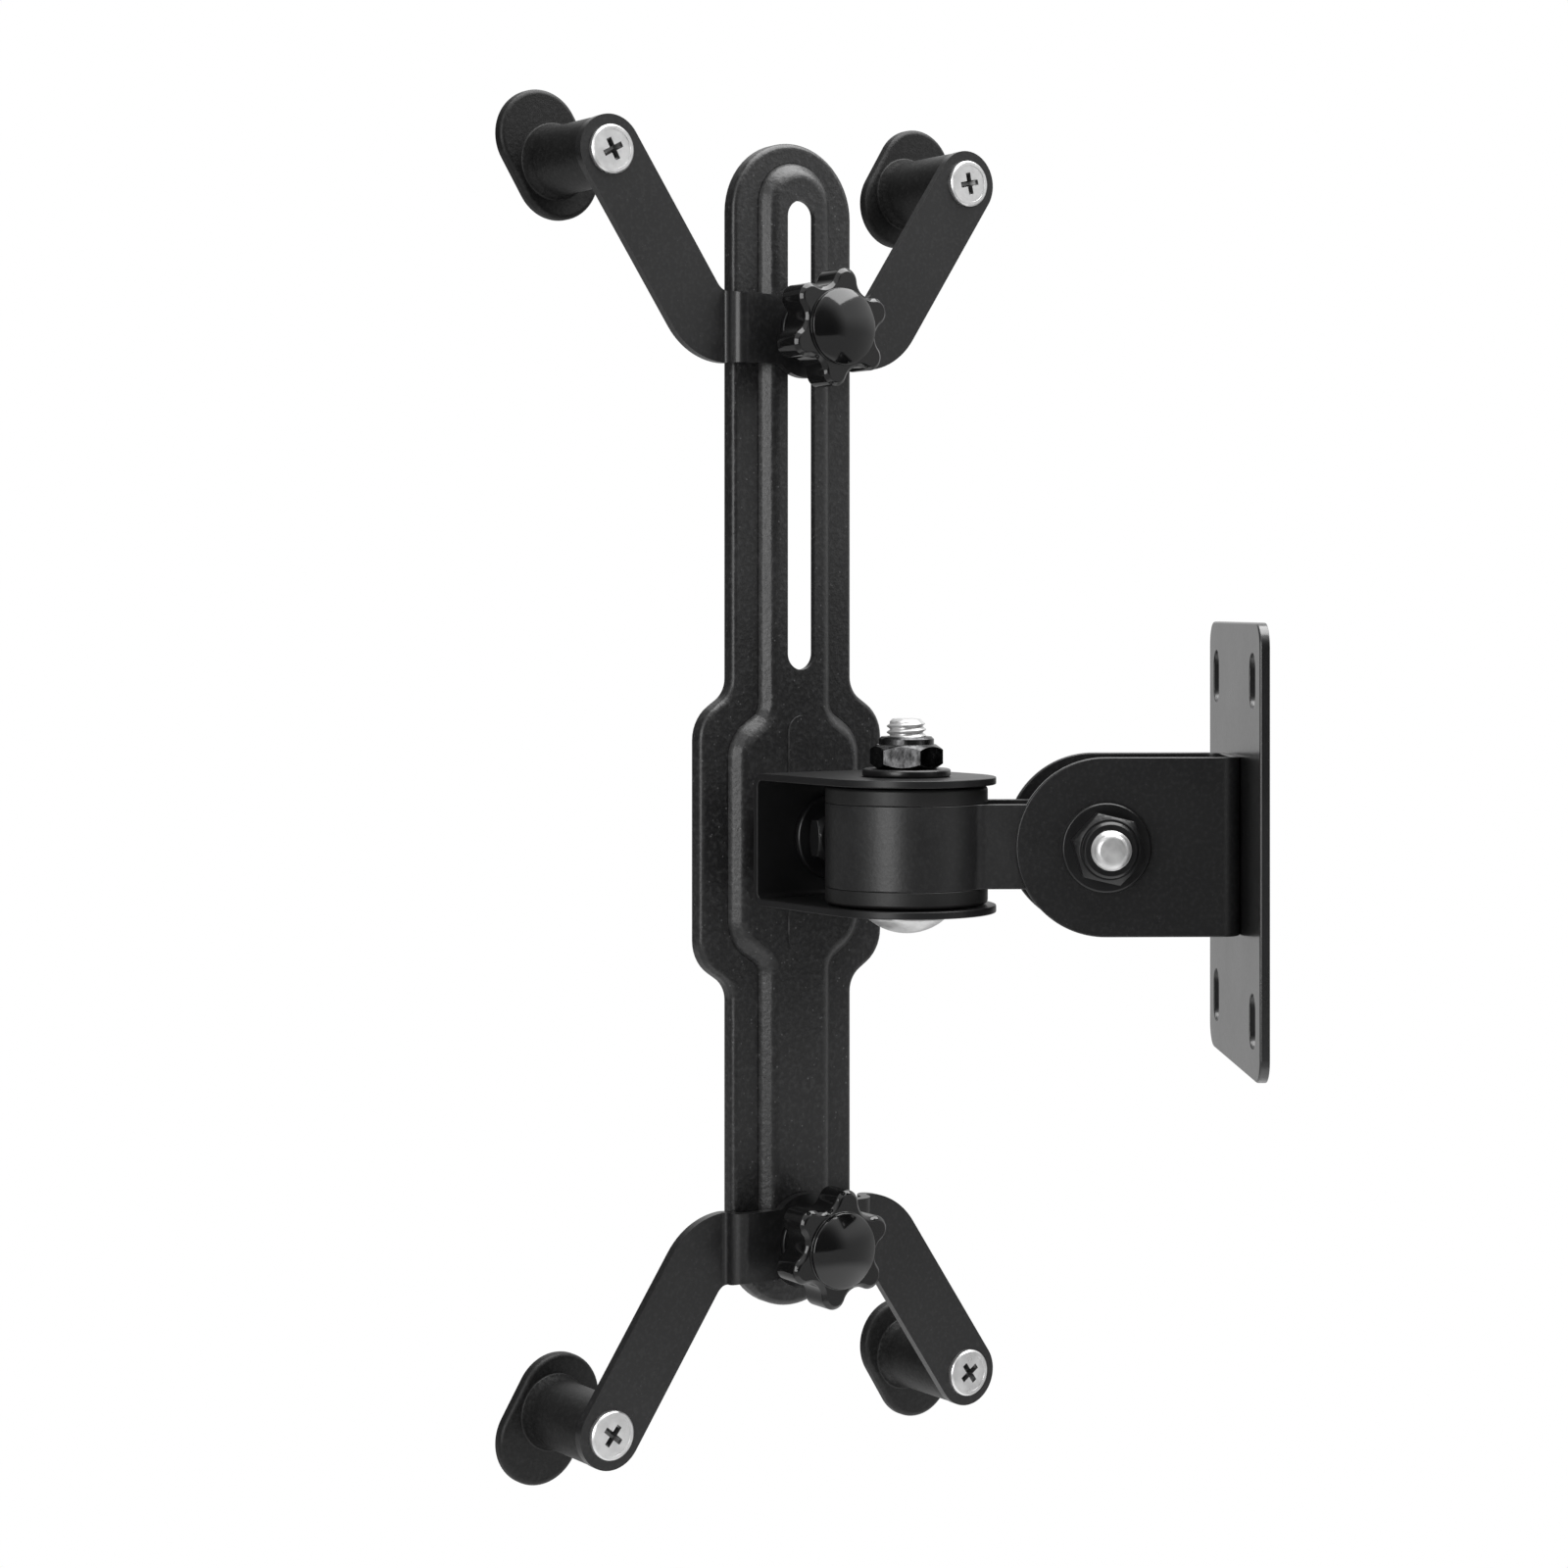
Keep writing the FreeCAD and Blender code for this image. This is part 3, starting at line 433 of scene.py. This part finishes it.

# one dictionary for each finish

# each finish's lighter tone colours its specks, its mottle and its rounded edges; on the edges it stands for rubbed
# paint and is also a painted highlight, and the amount beside it sets how strongly
finishes = {
    "satinBlack": {
        "colour": (0.010, 0.010, 0.0105, 1), "wearSheen": (0.42, 0.42, 0.42, 1), "wearAndSheen": 1.0, "darker": 0.80,
        "driftSize": 45.0, "gloss": (0.32, 0.40), "metal": 0.0, "shine": 0.44, "coat": (0.3, 0.18),
        "grain": 1200.0, "grainDepth": 0.000016, "specks": 0.04, "speckSize": 1100.0, "mottle": 0.018,
    },
    "plateBlack": {
        "colour": (0.012, 0.012, 0.0125, 1), "wearSheen": (0.10, 0.10, 0.10, 1), "wearAndSheen": 0.5, "darker": 0.80,
        "driftSize": 45.0, "gloss": (0.26, 0.34), "metal": 0.0, "shine": 0.65, "coat": (0.75, 0.16),
        "grain": 1600.0, "grainDepth": 0.000016, "specks": 0.25, "speckSize": 1100.0, "mottle": 0.0,
    },
    "shadedBlack": {
        "colour": (0.009, 0.009, 0.0095, 1), "wearSheen": (0.07, 0.07, 0.07, 1), "wearAndSheen": 0.35, "darker": 0.80,
        "driftSize": 45.0, "gloss": (0.34, 0.44), "metal": 0.0, "shine": 0.40, "coat": (0.1, 0.2),
        "grain": 1800.0, "grainDepth": 0.000010, "specks": 0.05, "speckSize": 1100.0, "mottle": 0.0,
    },
    "brushedBlack": {
        "colour": (0.012, 0.012, 0.0125, 1), "wearSheen": (0.07, 0.07, 0.07, 1), "wearAndSheen": 0.4, "darker": 0.78,
        "driftSize": 90.0, "gloss": (0.35, 0.43), "metal": 0.0, "shine": 0.62, "coat": (0.0, 0.2),
        "grain": 1200.0, "grainDepth": 0.000030, "specks": 0.12, "speckSize": 1500.0, "mottle": 0.10,
    },
    "powderCoat": {
        "colour": (0.011, 0.011, 0.0115, 1), "wearSheen": (0.16, 0.16, 0.162, 1), "wearAndSheen": 0.55, "darker": 0.75,
        "driftSize": 60.0, "gloss": (0.36, 0.46), "metal": 0.0, "shine": 0.52, "coat": (0.25, 0.26),
        "grain": 1000.0, "grainDepth": 0.00012, "specks": 0.50, "speckSize": 850.0, "mottle": 0.10,
    },
    "blackHardware": {
        "colour": (0.008, 0.008, 0.0085, 1), "wearSheen": (0.16, 0.16, 0.16, 1), "wearAndSheen": 0.5, "darker": 0.75,
        "driftSize": 120.0, "gloss": (0.26, 0.36), "metal": 0.0, "shine": 0.45, "coat": (0.2, 0.14),
        "grain": 1500.0, "grainDepth": 0.000008, "specks": 0.0, "speckSize": 1200.0, "mottle": 0.0,
    },
    # the nut's rounded edges take a near-white tone: painted glints along its facet outlines
    "darkNut": {
        "colour": (0.10, 0.10, 0.102, 1), "wearSheen": (0.85, 0.85, 0.86, 1), "wearAndSheen": 1.0, "darker": 0.25,
        "driftSize": 420.0, "gloss": (0.14, 0.30), "metal": 1.0, "shine": 0.5, "coat": (0.0, 0.1),
        "grain": 900.0, "grainDepth": 0.000045, "specks": 0.0, "speckSize": 1200.0, "mottle": 0.0,
    },
    "zincBolt": {
        "colour": (0.74, 0.74, 0.74, 1), "wearSheen": (0.92, 0.92, 0.91, 1), "wearAndSheen": 0.8, "darker": 0.72,
        "driftSize": 240.0, "gloss": (0.26, 0.40), "metal": 0.6, "shine": 0.5, "coat": (0.0, 0.1),
        "grain": 1100.0, "grainDepth": 0.000012, "specks": 0.0, "speckSize": 1200.0, "mottle": 0.0,
    },
    "brightScrew": {
        "colour": (0.86, 0.86, 0.86, 1), "wearSheen": (0.97, 0.97, 0.97, 1), "wearAndSheen": 0.5, "darker": 0.84,
        "driftSize": 300.0, "gloss": (0.26, 0.38), "metal": 0.85, "shine": 0.5, "coat": (0.0, 0.1),
        "grain": 1200.0, "grainDepth": 0.000010, "specks": 0.0, "speckSize": 1200.0, "mottle": 0.0,
    },
    "bushPlastic": {
        "colour": (0.011, 0.011, 0.011, 1), "wearSheen": (0.035, 0.035, 0.035, 1), "wearAndSheen": 0.3, "darker": 0.8,
        "driftSize": 90.0, "gloss": (0.40, 0.50), "metal": 0.0, "shine": 0.50, "coat": (0.0, 0.2),
        "grain": 1700.0, "grainDepth": 0.000020, "specks": 0.05, "speckSize": 1200.0, "mottle": 0.0,
    },
    "hookPlastic": {
        "colour": (0.007, 0.007, 0.007, 1), "wearSheen": (0.06, 0.06, 0.06, 1), "wearAndSheen": 0.4, "darker": 0.8,
        "driftSize": 80.0, "gloss": (0.42, 0.52), "metal": 0.0, "shine": 0.38, "coat": (0.0, 0.2),
        "grain": 1100.0, "grainDepth": 0.000070, "specks": 0.10, "speckSize": 1100.0, "mottle": 0.12,
    },
    # the knob's rounded edges take a lighter tone: a painted highlight outlining its lobes
    "knobPlastic": {
        "colour": (0.006, 0.006, 0.0062, 1), "wearSheen": (0.13, 0.13, 0.13, 1), "wearAndSheen": 0.6, "darker": 0.8,
        "driftSize": 70.0, "gloss": (0.07, 0.12), "metal": 0.0, "shine": 0.62, "coat": (0.0, 0.1),
        "grain": 700.0, "grainDepth": 0.000006, "specks": 0.0, "speckSize": 1200.0, "mottle": 0.0,
    },
}


def placeGroup(tree, group, values):
    node = tree.nodes.new("ShaderNodeGroup")
    node.node_tree = group
    for socketName, given in values.items():
        giveSocket(tree, node.inputs[socketName], given)
    return node.outputs


def addFinish(name, look):
    mat = bpy.data.materials.new(name)
    mat.use_nodes = True
    tree = mat.node_tree
    shader = tree.nodes["Principled BSDF"]
    shader.inputs["Metallic"].default_value = look["metal"]
    shader.inputs["Specular IOR Level"].default_value = look["shine"]
    shader.inputs["Coat Weight"].default_value, shader.inputs["Coat Roughness"].default_value = look["coat"]
    drift = placeGroup(tree, toneDrift, {
        "Colour": look["colour"], "Darker": look["darker"], "Size": look["driftSize"],
        "Gloss Low": look["gloss"][0], "Gloss High": look["gloss"][1],
    })
    tree.links.new(drift["Roughness"], shader.inputs["Roughness"])
    grain = placeGroup(tree, surfaceGrain, {"Size": look["grain"], "Speck Size": look["speckSize"]})
    colour = drift["Colour"]
    for mask, amount in (("Specks", look["specks"]), ("Tops", look["mottle"])):
        if amount > 0:
            colour = mixColour(tree, mathNode(tree, "MULTIPLY", grain[mask], amount), colour, look["wearSheen"])
    # rounded edges lighter as rubbed paint and painted highlight, the driver's recess darker as painted shade
    wearAndSheen = placeGroup(tree, edgeWearAndSheen, {"Colour": colour, "Wear Sheen Colour": look["wearSheen"], "Amount": look["wearAndSheen"]})
    tree.links.new(wearAndSheen["Colour"], shader.inputs["Base Color"])
    bump = tree.nodes.new("ShaderNodeBump")
    bump.inputs["Distance"].default_value = look["grainDepth"]
    bump.inputs["Strength"].default_value = 1.0
    tree.links.new(grain["Height"], bump.inputs["Height"])
    tree.links.new(bump.outputs["Normal"], shader.inputs["Normal"])
    return mat


finishMats = {name: addFinish(name, look) for name, look in finishes.items()}
print("finishes made:", len(finishMats))

# which finish each piece of the mount has

arms = ("upper", "lower")
sides = ("left", "right")
pieceFinish = {
    "satinBlack": ["wall_clevis", "upper_arm", "lower_arm"],
    "plateBlack": ["wall_plate"],
    "shadedBlack": ["swivel_bracket"],
    "brushedBlack": ["link_strap"],
    "powderCoat": ["spine"],
    "blackHardware": [
        "tilt_washer_nut_side", "tilt_washer_head_side", "tilt_nut", "swivel_washer", "spin_washer", "spin_nut",
        "upper_clamp_bolt", "upper_clamp_washer", "lower_clamp_bolt", "lower_clamp_washer",
    ],
    "darkNut": ["swivel_nut"],
    "zincBolt": ["tilt_bolt", "swivel_bolt", "spin_bolt"],
    "brightScrew": [arm + "_hook_screw_" + side for arm in arms for side in sides],
    "bushPlastic": ["bush_upper", "bush_lower", "tilt_spacer_tube", "spin_spacer"],
    "hookPlastic": [arm + "_hook_" + side for arm in arms for side in sides],
    "knobPlastic": ["upper_knob", "lower_knob"],
}
finishOf = {node: finish for finish, names in pieceFinish.items() for node in names}

# softened copies: every sharp edge gets a small round, as pressed, turned and moulded parts have

softening = {
    "satinBlack": (0.00035, 2),
    "plateBlack": (0.00030, 2),
    "shadedBlack": (0.00022, 2),
    "brushedBlack": (0.00022, 2),
    "powderCoat": (0.00032, 2),
    "blackHardware": (0.00015, 2),
    "darkNut": (0.00026, 2),
    "zincBolt": (0.00015, 2),
    "bushPlastic": (0.00025, 2),
    "hookPlastic": (0.00030, 2),
    "knobPlastic": (0.00030, 3),
}
shading = {
    "mergeWithin": 0.000002,
    "flatWithin": math.radians(0.6),
    "softFrom": math.radians(24),  # edges sharper than this are rounded
    "wearSheenLimit": -0.3,  # faces that look further back than this get neither the wear tone nor the painted edge highlight
    "smoothUpTo": math.radians(40),
    "flatFacing": 0.9998,
    "flatWeight": 100,
}
# the spine's raised middle and its flat bead
pressing = {"width": 0.0011, "steps": 5, "least": math.radians(38), "most": math.radians(52), "facing": 0.5}
bead = {"reach": 0.0037, "height": 0.00045, "top": 0.027, "steep": 0.9}


def mergedCopy(nodeName):
    # the piece as a solid of plain faces, ready to be worked on
    piece = bpy.data.objects.new(nodeName + "_finished", cadNodes[nodeName].data.copy())
    bpy.context.collection.objects.link(piece)
    piece.data.materials.clear()
    startEdit(piece, pick="SELECT")
    bpy.ops.mesh.remove_doubles(threshold=shading["mergeWithin"])
    bpy.ops.mesh.dissolve_limited(angle_limit=shading["flatWithin"])
    bpy.ops.mesh.select_all(action="DESELECT")
    endEdit()
    return piece


def markFaces(piece, name, valueOf):
    # a number on each face, for the materials
    mark = piece.data.attributes.new(name, "FLOAT", "FACE")
    for face in piece.data.polygons:
        mark.data[face.index].value = valueOf(face)


def roundPressing(piece, width, steps, least, most, facing):
    # bends of pressed sheet are rounder than its cut edges
    startEdit(piece, "EDGE")
    shape = bmesh.from_edit_mesh(piece.data)
    for edge in shape.edges:
        if len(edge.link_faces) == 2 and least < edge.calc_face_angle(0.0) < most:
            front = edge.link_faces[0].normal + edge.link_faces[1].normal
            edge.select = front.dot(outwards) > facing
    bmesh.update_edit_mesh(piece.data)
    bpy.ops.mesh.bevel(offset=width, segments=steps, profile=0.5, clamp_overlap=False, face_strength_mode="ALL")
    endEdit()


def roundEdges(piece, width, steps, strength="ALL", front=None):
    startEdit(piece, "EDGE")
    bpy.ops.mesh.edges_select_sharp(sharpness=shading["softFrom"])
    bpy.ops.mesh.bevel(offset=width, segments=steps, profile=0.5, clamp_overlap=True, material=1,
                       face_strength_mode=strength)
    endEdit()

    # rounded faces that look forward take the lighter tone: rubbed paint and a painted edge highlight
    def rubAndSheen(face):
        return float(face.material_index == 1 and (front is None or face.normal.dot(front) > shading["wearSheenLimit"]))

    markFaces(piece, "softEdge", rubAndSheen)
    for face in piece.data.polygons:
        face.material_index = 0


def paintBeadHighlight(piece, reach, height, top, steep):
    # the low walls of the spine's flat bead get the lighter edge tone, as a painted highlight
    turnBack = Matrix.Rotation(-holderTurn, 3, "Z")
    mesh = piece.data
    mark = mesh.attributes["softEdge"]
    spots = [turnBack @ (face.center - swivelAxis) for face in mesh.polygons]
    peak = max(spot.y for spot in spots)
    for face, spot in zip(mesh.polygons, spots):
        onWall = abs(face.normal.dot(outwards)) < steep and spot.y > peak - height
        if onWall and abs(spot.x) < reach and abs(spot.z) < top:
            mark.data[face.index].value = 1.0


def evenShading(piece, facing=None):
    makeActive(piece)
    bpy.ops.object.shade_smooth_by_angle(angle=shading["smoothUpTo"])
    if facing is not None:  # flats that look this way stay quite flat
        mesh = piece.data
        flats = [abs(face.normal.dot(facing)) > shading["flatFacing"] for face in mesh.polygons]
        kinds = {}
        for face in mesh.polygons:
            for key in face.edge_keys:
                kinds.setdefault(key, set()).add(flats[face.index])
        for edge in mesh.edges:
            if len(kinds[edge.key]) == 2:
                edge.use_edge_sharp = True
    flatten = piece.modifiers.new("evenShading", "WEIGHTED_NORMAL")
    flatten.keep_sharp = True
    flatten.weight = shading["flatWeight"]
    flatten.use_face_influence = True
    bpy.ops.object.modifier_apply(modifier=flatten.name)


def dressNode(piece, nodeName):
    finishName = finishOf[nodeName]
    piece.data.materials.append(finishMats[finishName])
    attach(piece, cadNodes[nodeName]["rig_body"])
    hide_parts(nodeName)


def cutWith(piece, tool):
    makeActive(piece)
    cut = piece.modifiers.new("cut", "BOOLEAN")
    cut.operation = "DIFFERENCE"
    cut.object = tool
    cut.solver = "EXACT"
    bpy.ops.object.modifier_apply(modifier=cut.name)
    bpy.data.objects.remove(tool)


def joinInto(piece, others):
    clearSelection()
    for other in others:
        other.select_set(True)
    piece.select_set(True)
    bpy.context.view_layer.objects.active = piece
    bpy.ops.object.join()


# threaded ends of the tilt and swivel bolts

threads = {
    "pitch": 0.00125,
    "crest": 0.00398,
    "root": 0.00334,
    "tipFlat": 0.0028,
    "turns": 6,
    "spareTurns": 2,  # cut to the bolt's length afterwards
    "steps": 40,
    "coreSides": 40,
    "coreSpare": 0.00002,
    "tipSteps": ((0.0006, -0.00008), (0.0012, 0.00005)),  # inset, then rise
    "toothLine": (("root", 0.0), ("root", 0.12), ("crest", 0.46), ("crest", 0.62), ("root", 0.96), ("root", 1.0)),
    "windWithin": 0.00001,
    "mergeWithin": 0.000004,
    # the whole thread takes part of the lighter edge tone: a painted sheen on the zinc
    "rubAndSheen": 0.35,
    "easing": (0.0002, 2),
}

threadedBolts = {
    "swivel_bolt": {"foot": swivelAxis + Vector((0, 0, 0.0185)), "end": swivelAxis + Vector((0, 0, 0.0254))},
    "tilt_bolt": {"foot": Vector((0.0160, -0.0295, 0)), "end": Vector((0.0216, -0.0295, 0))},
}


def threadCore(setup, length):
    # upright bar with an eased tip
    clearSelection()
    bpy.ops.mesh.primitive_cylinder_add(vertices=setup["coreSides"], radius=setup["root"] + setup["coreSpare"],
                                        depth=length, location=(0, 0, length / 2))
    core = bpy.context.object
    bpy.ops.object.transform_apply(location=True, rotation=True, scale=True)
    startEdit(core)
    shape = bmesh.from_edit_mesh(core.data)
    for face in shape.faces:
        face.select = face.normal.z > 0.9
    bmesh.update_edit_mesh(core.data)
    slope = setup["root"] - setup["tipFlat"]
    bpy.ops.transform.translate(value=(0, 0, -slope))
    bpy.ops.mesh.extrude_region_move(TRANSFORM_OT_translate={"value": (0, 0, slope)})
    shrink = setup["tipFlat"] / setup["root"]
    bpy.ops.transform.resize(value=(shrink, shrink, 1))
    for inset, rise in setup["tipSteps"]:
        bpy.ops.mesh.inset(thickness=inset)
        bpy.ops.transform.translate(value=(0, 0, rise))
    endEdit()
    return core


def threadTooth(setup, length):
    # one tooth, wound up the bolt and kept within its length and its tip's slope
    start = length - setup["turns"] * setup["pitch"] - setup["pitch"]
    points = [(setup[level], 0, start + share * setup["pitch"]) for level, share in setup["toothLine"]]
    line = bpy.data.meshes.new("tooth")
    line.from_pydata(points, [(k, k + 1) for k in range(len(points) - 1)], [])
    wound = bpy.data.objects.new("tooth", line)
    bpy.context.collection.objects.link(wound)
    makeActive(wound)
    winding = wound.modifiers.new("winding", "SCREW")
    winding.steps = setup["steps"]
    winding.render_steps = setup["steps"]
    winding.screw_offset = setup["pitch"]
    winding.iterations = setup["turns"] + setup["spareTurns"]
    winding.use_normal_calculate = True
    winding.use_merge_vertices = True
    winding.merge_threshold = setup["windWithin"]
    bpy.ops.object.modifier_apply(modifier=winding.name)
    for point in wound.data.vertices:
        at = point.co
        at.z = min(max(at.z, 0.0), length)
        most = setup["tipFlat"] + (length - at.z)
        reach = math.hypot(at.x, at.y)
        if reach > most:
            at.x, at.y = at.x * most / reach, at.y * most / reach
    startEdit(wound, pick="SELECT")
    bpy.ops.mesh.remove_doubles(threshold=setup["mergeWithin"])
    bpy.ops.mesh.normals_make_consistent(inside=False)
    endEdit()
    return wound


def threadedEnd(setup, foot, end):
    # made upright at the origin, then turned to the bolt's axis
    length = (end - foot).length
    core = threadCore(setup, length)
    joinInto(core, [threadTooth(setup, length)])
    turn = (end - foot).to_track_quat("Z", "Y").to_matrix().to_4x4()
    core.data.transform(Matrix.Translation(foot) @ turn)
    markFaces(core, "softEdge", lambda face: setup["rubAndSheen"])
    return core


def cutOff(piece, place, direction):
    startEdit(piece, pick="SELECT")
    bpy.ops.mesh.bisect(plane_co=place, plane_no=direction, clear_outer=True, use_fill=True)
    endEdit()


for nodeName, ends in threadedBolts.items():
    bolt = mergedCopy(nodeName)
    cutOff(bolt, ends["foot"], (ends["end"] - ends["foot"]).normalized())
    roundEdges(bolt, *threads["easing"])
    joinInto(bolt, [threadedEnd(threads, ends["foot"], ends["end"])])
    evenShading(bolt)
    dressNode(bolt, nodeName)
print("bolts threaded")

# bright screws: a raised rim round a slightly sunk face, with a cross recess

screwHeads = {
    "along": 0.0463,
    "heights": {"upper": 0.1418, "lower": -0.1215},
    "dishRadius": 0.0041,
    "dishDepth": 0.00016,
    "dishSides": 64,
    "crossReach": 0.0027,
    "crossHalf": 0.00070,
    "crossDepth": 0.0019,
    "crossTop": 0.0003,
    "crossNarrow": 0.45,  # floor as a share of the mouth
    "crossFirst": {"upper": 20, "lower": -20},  # as the recess stands in the frame
    "crossTurn": {"upper_left": 8, "upper_right": 32, "lower_left": -20, "lower_right": 15},
    "sunkenReach": 1.05,
    "sunkenDepth": 1.6,
    "easing": (0.00011, 2),
}


def markSunken(piece, centre, reach, depth):
    # faces in the driver's recess, where little light gets in
    def sunken(face):
        off = face.center - centre
        out = off.dot(outwards)
        return float((off - outwards * out).length < reach and out < -depth)

    markFaces(piece, "sunken", sunken)


def crossTool(setup, centre, turn):
    # a cross that narrows downwards, for the driver
    half = setup["crossHalf"]
    clearSelection()
    bpy.ops.mesh.primitive_cube_add(size=1, location=(0, 0, 0))
    tool = bpy.context.object
    tool.scale = (2 * half, 2 * half, 2 * setup["crossDepth"])
    bpy.ops.object.transform_apply(location=True, rotation=True, scale=True)
    for way in (Vector((1, 0, 0)), Vector((-1, 0, 0)), Vector((0, 1, 0)), Vector((0, -1, 0))):
        startEdit(tool)
        shape = bmesh.from_edit_mesh(tool.data)
        for face in shape.faces:
            middle = face.calc_center_median()
            aside = middle - way * middle.dot(way)
            face.select = face.normal.dot(way) > 0.9 and aside.length < half * 0.3
        bmesh.update_edit_mesh(tool.data)
        bpy.ops.mesh.extrude_region_move(TRANSFORM_OT_translate={"value": way * (setup["crossReach"] - half)})
        endEdit()
    for point in tool.data.vertices:
        if point.co.z < 0:
            point.co.x *= setup["crossNarrow"]
            point.co.y *= setup["crossNarrow"]
        else:
            point.co.z = setup["crossTop"]
    place = Matrix.Translation(centre) @ outwards.to_track_quat("Z", "Y").to_matrix().to_4x4()
    tool.data.transform(place @ Matrix.Rotation(math.radians(turn), 4, "Z"))
    return tool


def finishScrew(arm, side, setup):
    nodeName = arm + "_hook_screw_" + side
    screw = mergedCopy(nodeName)
    faceOut = max(point.co.dot(outwards) for point in screw.data.vertices)
    sign = 1 if side == "left" else -1
    centre = holderPoint(sign * setup["along"], 0, setup["heights"][arm])
    centre += outwards * (faceOut - centre.dot(outwards))
    turn = setup["crossTurn"][arm + "_" + side]
    turning = Matrix.Rotation(math.radians(turn), 4, outwards)
    screw.data.transform(Matrix.Translation(centre) @ turning @ Matrix.Translation(-centre))
    clearSelection()
    bpy.ops.mesh.primitive_cylinder_add(vertices=setup["dishSides"], radius=setup["dishRadius"],
                                        depth=2 * setup["dishDepth"], location=centre,
                                        rotation=outwards.to_track_quat("Z", "Y").to_euler())
    cutWith(screw, bpy.context.object)
    cutWith(screw, crossTool(setup, centre, turn + setup["crossFirst"][arm] * sign))
    roundEdges(screw, *setup["easing"])
    markSunken(screw, centre, setup["crossReach"] * setup["sunkenReach"], setup["dishDepth"] * setup["sunkenDepth"])
    evenShading(screw)
    dressNode(screw, nodeName)


for arm in arms:
    for side in sides:
        finishScrew(arm, side, screwHeads)
print("screws finished")

# everything else keeps its shape and gets its edges eased

ownModels = set(threadedBolts) | set(pieceFinish["brightScrew"])
for nodeName, node in cadNodes.items():
    finishName = finishOf[nodeName]
    node.data.materials.clear()
    node.data.materials.append(finishMats[finishName])
    if nodeName in ownModels:
        continue
    piece = mergedCopy(nodeName)
    if nodeName == "spine":
        roundPressing(piece, **pressing)
        roundEdges(piece, *softening[finishName], strength="AFFECTED", front=outwards)
        paintBeadHighlight(piece, **bead)
        evenShading(piece, facing=outwards)
    else:
        roundEdges(piece, *softening[finishName])
        evenShading(piece)
    dressNode(piece, nodeName)
print("edges eased")
